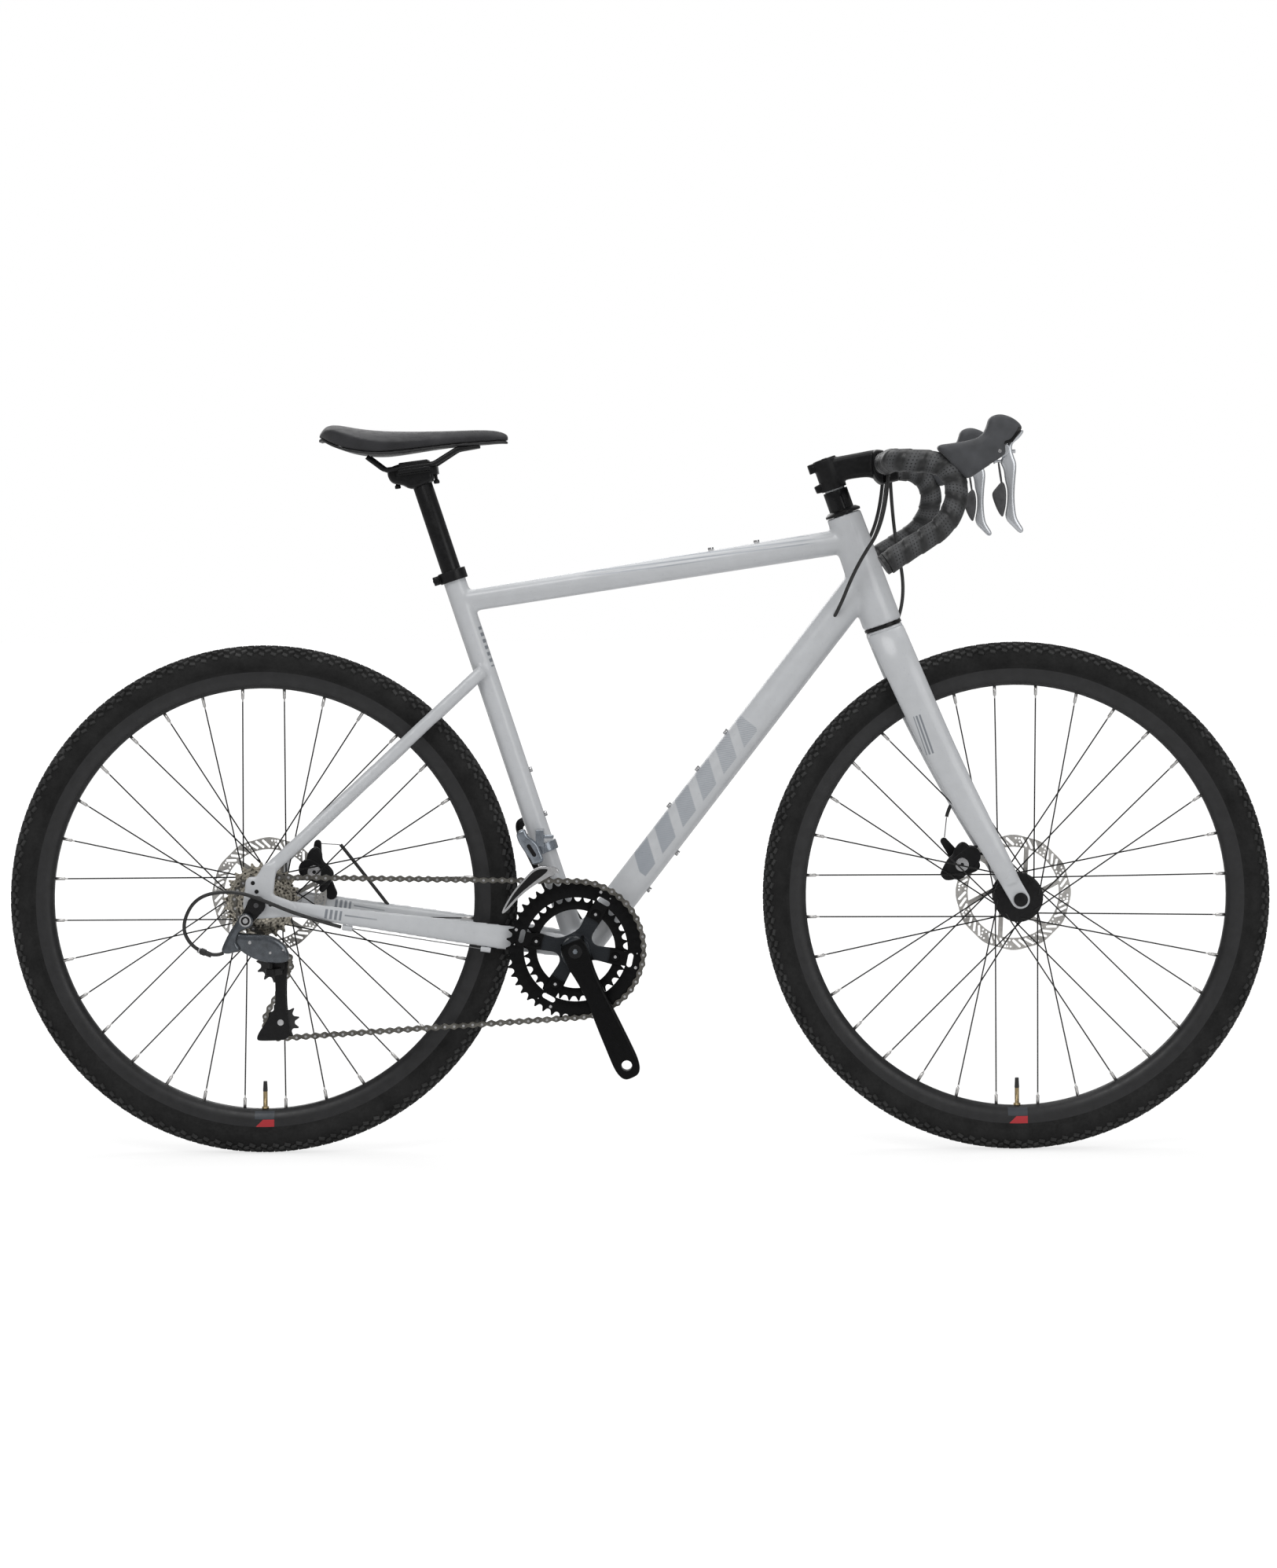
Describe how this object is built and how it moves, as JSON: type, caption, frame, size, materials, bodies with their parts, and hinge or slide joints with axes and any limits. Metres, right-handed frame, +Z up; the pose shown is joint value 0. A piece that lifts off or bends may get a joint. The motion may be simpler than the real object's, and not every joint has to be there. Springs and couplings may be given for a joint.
{
  "type": "gravel bicycle",
  "caption": "Gravel bicycle with drop handlebar, disc brakes, derailleur gears and knobbly tyres; steers, rolls, pedals, shifts and brakes through real joints.",
  "frame": {"origin": "on the ground, midway between the two axles, in the bicycle's middle plane", "axes": "+X forward along the wheelbase, +Y to the rider's left, +Z up"},
  "size_m": [1.7386, 0.4686, 1.0038],
  "materials": {
    "frame_paint": "satin",
    "black_alloy": "satin",
    "rim_black": "matte",
    "spoke_black": "gloss",
    "steel": "brushed",
    "gold_steel": "brushed",
    "dark_steel": "satin",
    "silver_alloy": "satin",
    "bolt_steel": "polished",
    "brass": "polished",
    "tyre": "matte",
    "tape": "matte",
    "hood_rubber": "matte",
    "housing": "satin",
    "saddle_skin": "matte",
    "black_plastic": "matte"
  },
  "bodies": {
    "frame": {"main_frame": "frame_paint", "rear_triangle": "frame_paint", "frame_bearings": "dark_steel", "seat_clamp": "black_alloy", "rear_axle": "bolt_steel", "bottle_bolts": "bolt_steel", "rear_caliper": "black_alloy", "fd_clamp": "bolt_steel", "rd_bracket": "dark_steel", "control_cables": "housing", "chain": "gold_steel"},
    "seat": {"seatpost": "black_alloy", "saddle_clamp": "black_alloy", "saddle_rails": "black_alloy", "saddle_cover": "saddle_skin", "saddle_shell": "black_plastic"},
    "fork": {"fork": "frame_paint", "headset_spacers": "black_alloy", "stem": "black_alloy", "stem_faceplate": "black_alloy", "stem_bolts": "bolt_steel", "handlebar": "black_alloy", "bar_tape": "tape", "right_hood": "hood_rubber", "left_hood": "hood_rubber", "front_axle": "bolt_steel", "front_caliper": "black_alloy", "front_brake_cable": "housing"},
    "front_wheel": {"front_tyre": "tyre", "front_rim": "rim_black", "front_spokes": "spoke_black", "front_hub": "black_alloy", "front_rotor": "steel", "front_valve": "brass"},
    "rear_wheel": {"rear_tyre": "tyre", "rear_rim": "rim_black", "rear_spokes": "spoke_black", "rear_hub": "black_alloy", "rear_rotor": "steel", "rear_valve": "brass"},
    "cassette": {"cassette": "gold_steel"},
    "crankset": {"right_crank": "black_alloy", "left_crank": "black_alloy", "chainrings": "dark_steel", "chainring_bolts": "bolt_steel"},
    "right_lever_base": {"right_lever_base": "silver_alloy"},
    "right_brake_lever": {"right_brake_lever": "silver_alloy"},
    "right_shift_paddle": {"right_shift_paddle": "black_plastic"},
    "left_lever_base": {"left_lever_base": "silver_alloy"},
    "left_brake_lever": {"left_brake_lever": "silver_alloy"},
    "left_shift_paddle": {"left_shift_paddle": "black_plastic"},
    "rd_link": {"rd_link": "dark_steel"},
    "rd_p_knuckle": {"rd_p_knuckle": "dark_steel"},
    "rd_cage": {"rd_cage": "dark_steel"},
    "guide_pulley": {"guide_pulley": "black_plastic"},
    "tension_pulley": {"tension_pulley": "black_plastic"},
    "fd_link": {"fd_link": "bolt_steel"},
    "fd_cage": {"fd_cage": "bolt_steel"},
    "front_brake_arm": {"front_brake_arm": "black_alloy"},
    "rear_brake_arm": {"rear_brake_arm": "black_alloy"}
  },
  "joints": [
    {"name": "steering", "type": "hinge", "parent": "frame", "child": "fork", "pos_m": [0.33653, 0, 0.72463], "axis": [-0.3289, 0, 0.9444], "range_deg": [-60, 60], "deforming": ["control_cables"]},
    {"name": "front_wheel_spin", "type": "hinge", "parent": "fork", "child": "front_wheel", "pos_m": [0.5193, 0, 0.35], "axis": [0, 1, 0], "continuous": true},
    {"name": "rear_wheel_spin", "type": "hinge", "parent": "frame", "child": "rear_wheel", "pos_m": [-0.5193, 0, 0.35], "axis": [0, 1, 0], "continuous": true},
    {"name": "crank_spin", "type": "hinge", "parent": "frame", "child": "crankset", "pos_m": [-0.088, 0, 0.2835], "axis": [0, 1, 0], "continuous": true, "deforming": ["chain"]},
    {"name": "cassette_spin", "type": "hinge", "parent": "frame", "child": "cassette", "pos_m": [-0.5193, 0, 0.35], "axis": [0, 1, 0], "continuous": true, "deforming": ["chain"]},
    {"name": "seat_height", "type": "slide", "parent": "frame", "child": "seat", "axis": [-0.3133, 0, 0.9496], "range_m": [-0.1, 0.04]},
    {"name": "right_brake", "type": "hinge", "parent": "fork", "child": "right_lever_base", "pos_m": [0.47711, -0.2075, 0.95577], "axis": [0, 1, 0], "range_deg": [0, 25], "stiffness_Nm_per_rad": 1.5, "springref_deg": -17.19, "deforming": ["control_cables"]},
    {"name": "left_brake", "type": "hinge", "parent": "fork", "child": "left_lever_base", "pos_m": [0.47711, 0.2075, 0.95577], "axis": [0, 1, 0], "range_deg": [0, 25], "stiffness_Nm_per_rad": 1.5, "springref_deg": -17.19, "deforming": ["front_brake_cable"]},
    {"name": "right_lever_swing", "type": "hinge", "parent": "right_lever_base", "child": "right_brake_lever", "pos_m": [0.47711, -0.2075, 0.95577], "axis": [1, 0, 0], "range_deg": [0, 15], "stiffness_Nm_per_rad": 0.8, "springref_deg": -14.32},
    {"name": "left_lever_swing", "type": "hinge", "parent": "left_lever_base", "child": "left_brake_lever", "pos_m": [0.47711, 0.2075, 0.95577], "axis": [-1, 0, 0], "range_deg": [0, 15], "stiffness_Nm_per_rad": 0.8, "springref_deg": -14.32},
    {"name": "right_paddle_swing", "type": "hinge", "parent": "right_lever_base", "child": "right_shift_paddle", "pos_m": [0.47711, -0.2075, 0.94277], "axis": [1, 0, 0], "range_deg": [0, 15], "stiffness_Nm_per_rad": 0.3, "springref_deg": -14.32},
    {"name": "left_paddle_swing", "type": "hinge", "parent": "left_lever_base", "child": "left_shift_paddle", "pos_m": [0.47711, 0.2075, 0.94277], "axis": [-1, 0, 0], "range_deg": [0, 15], "stiffness_Nm_per_rad": 0.3, "springref_deg": -14.32},
    {"name": "rear_shift", "type": "hinge", "parent": "frame", "child": "rd_link", "pos_m": [-0.5469, -0.083, 0.272], "axis": [0, 0, 1], "range_deg": [-16, 22], "deforming": ["chain", "control_cables"]},
    {"name": "rear_shift_level", "type": "hinge", "parent": "rd_link", "child": "rd_p_knuckle", "pos_m": [-0.5015, -0.0755, 0.272], "axis": [0, 0, 1], "range_deg": [-22, 16]},
    {"name": "chain_tension", "type": "hinge", "parent": "rd_p_knuckle", "child": "rd_cage", "pos_m": [-0.4938, -0.06, 0.2655], "axis": [0, 1, 0], "range_deg": [-20, 20], "stiffness_Nm_per_rad": 0.8, "deforming": ["chain"]},
    {"name": "guide_pulley_spin", "type": "hinge", "parent": "rd_cage", "child": "guide_pulley", "pos_m": [-0.4998, -0.0476, 0.26529], "axis": [0, 1, 0], "continuous": true},
    {"name": "tension_pulley_spin", "type": "hinge", "parent": "rd_cage", "child": "tension_pulley", "pos_m": [-0.49104, -0.0476, 0.18655], "axis": [0, 1, 0], "continuous": true},
    {"name": "front_shift", "type": "hinge", "parent": "frame", "child": "fd_link", "pos_m": [-0.1245, -0.038, 0.437], "axis": [1, 0, 0], "range_deg": [0, 15], "deforming": ["chain"]},
    {"name": "front_shift_level", "type": "hinge", "parent": "fd_link", "child": "fd_cage", "pos_m": [-0.1245, -0.044, 0.4107], "axis": [1, 0, 0], "range_deg": [-15, 0]},
    {"name": "front_brake_pull", "type": "hinge", "parent": "fork", "child": "front_brake_arm", "pos_m": [0.4473, 0.0525, 0.39], "axis": [0, 1, 0], "range_deg": [0, 25]},
    {"name": "rear_brake_pull", "type": "hinge", "parent": "frame", "child": "rear_brake_arm", "pos_m": [-0.4553, 0.0695, 0.382], "axis": [0, 1, 0], "range_deg": [0, 25]}
  ],
  "couplings": [
    {"joint": "cassette_spin", "follows": "crank_spin", "ratio": 2.7059},
    {"joint": "guide_pulley_spin", "follows": "crank_spin", "ratio": -4.1818},
    {"joint": "tension_pulley_spin", "follows": "crank_spin", "ratio": 4.1818},
    {"joint": "rear_shift_level", "follows": "rear_shift", "ratio": -1},
    {"joint": "front_shift_level", "follows": "front_shift", "ratio": -1},
    {"joint": "front_brake_pull", "follows": "left_brake", "ratio": 1},
    {"joint": "rear_brake_pull", "follows": "right_brake", "ratio": 1}
  ]
}
